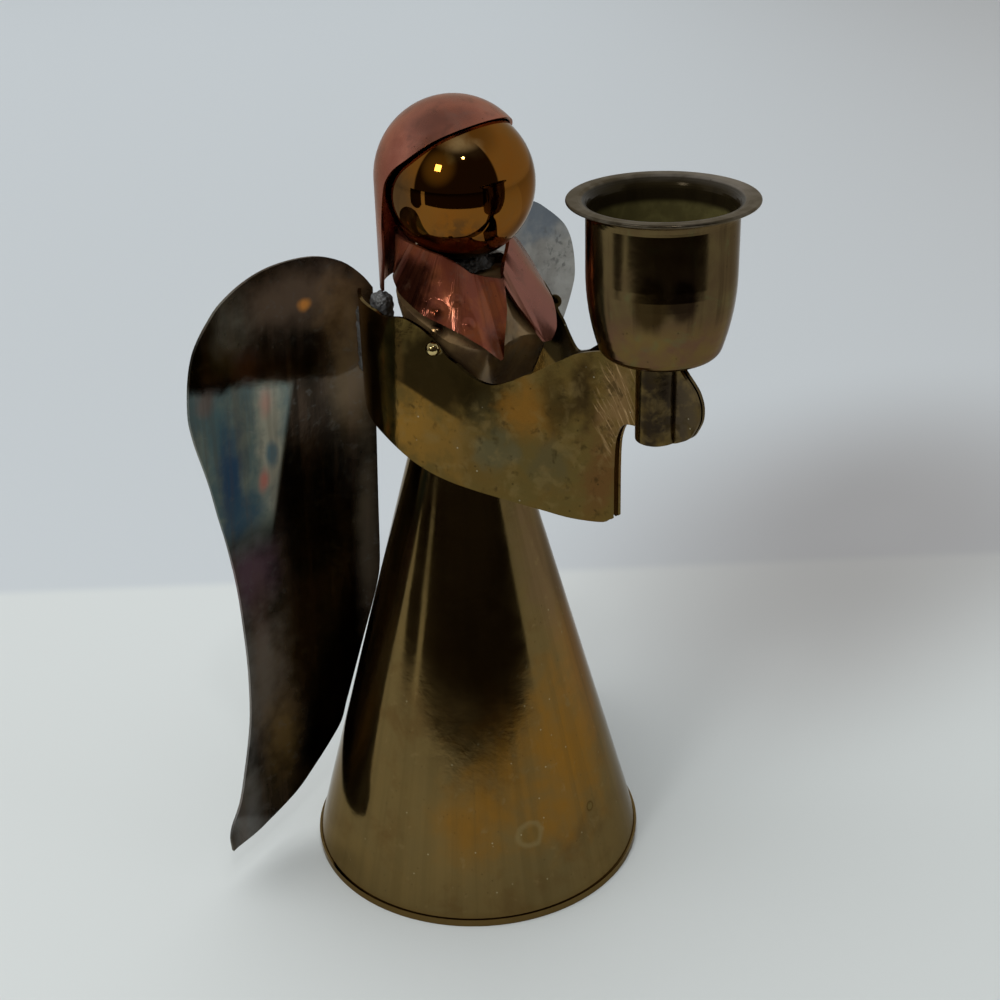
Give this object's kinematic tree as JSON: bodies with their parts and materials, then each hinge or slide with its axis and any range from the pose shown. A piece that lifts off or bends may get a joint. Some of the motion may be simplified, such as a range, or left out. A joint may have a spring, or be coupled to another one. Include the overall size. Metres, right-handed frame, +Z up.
{
  "type": "angel candle holder",
  "caption": "Standing angel of bent brass and copper sheet that holds a candle cup out in its joined hands.",
  "frame": {"origin": "centre of the skirt's foot, on the table", "axes": "+Z up; the angel faces -Y; -X is the angel's right side"},
  "size_m": [0.0988, 0.0948, 0.1528],
  "materials": {
    "skirt_brass": "satin",
    "bodice_brass": "satin",
    "copper": "polished",
    "solder": "satin",
    "head_brass": "polished",
    "sleeve_brass": "satin",
    "wing_patina": "polished",
    "cup_brass": "satin"
  },
  "bodies": {
    "root": {"skirt": "skirt_brass", "bodice": "bodice_brass", "collar": "copper", "neck_pin": "solder", "neck_solder": "solder", "head": "head_brass", "hood": "copper", "hood_solder": "solder", "right_sleeve": "sleeve_brass", "left_sleeve": "sleeve_brass", "right_wing": "wing_patina", "left_wing": "wing_patina", "candle_cup": "cup_brass", "cup_stem": "solder", "cup_solder": "solder", "right_shoulder_solder": "solder", "left_shoulder_solder": "solder", "right_sleeve_bead": "sleeve_brass", "left_sleeve_bead": "sleeve_brass", "right_wing_solder": "solder", "left_wing_solder": "solder"}
  },
  "joints": []
}
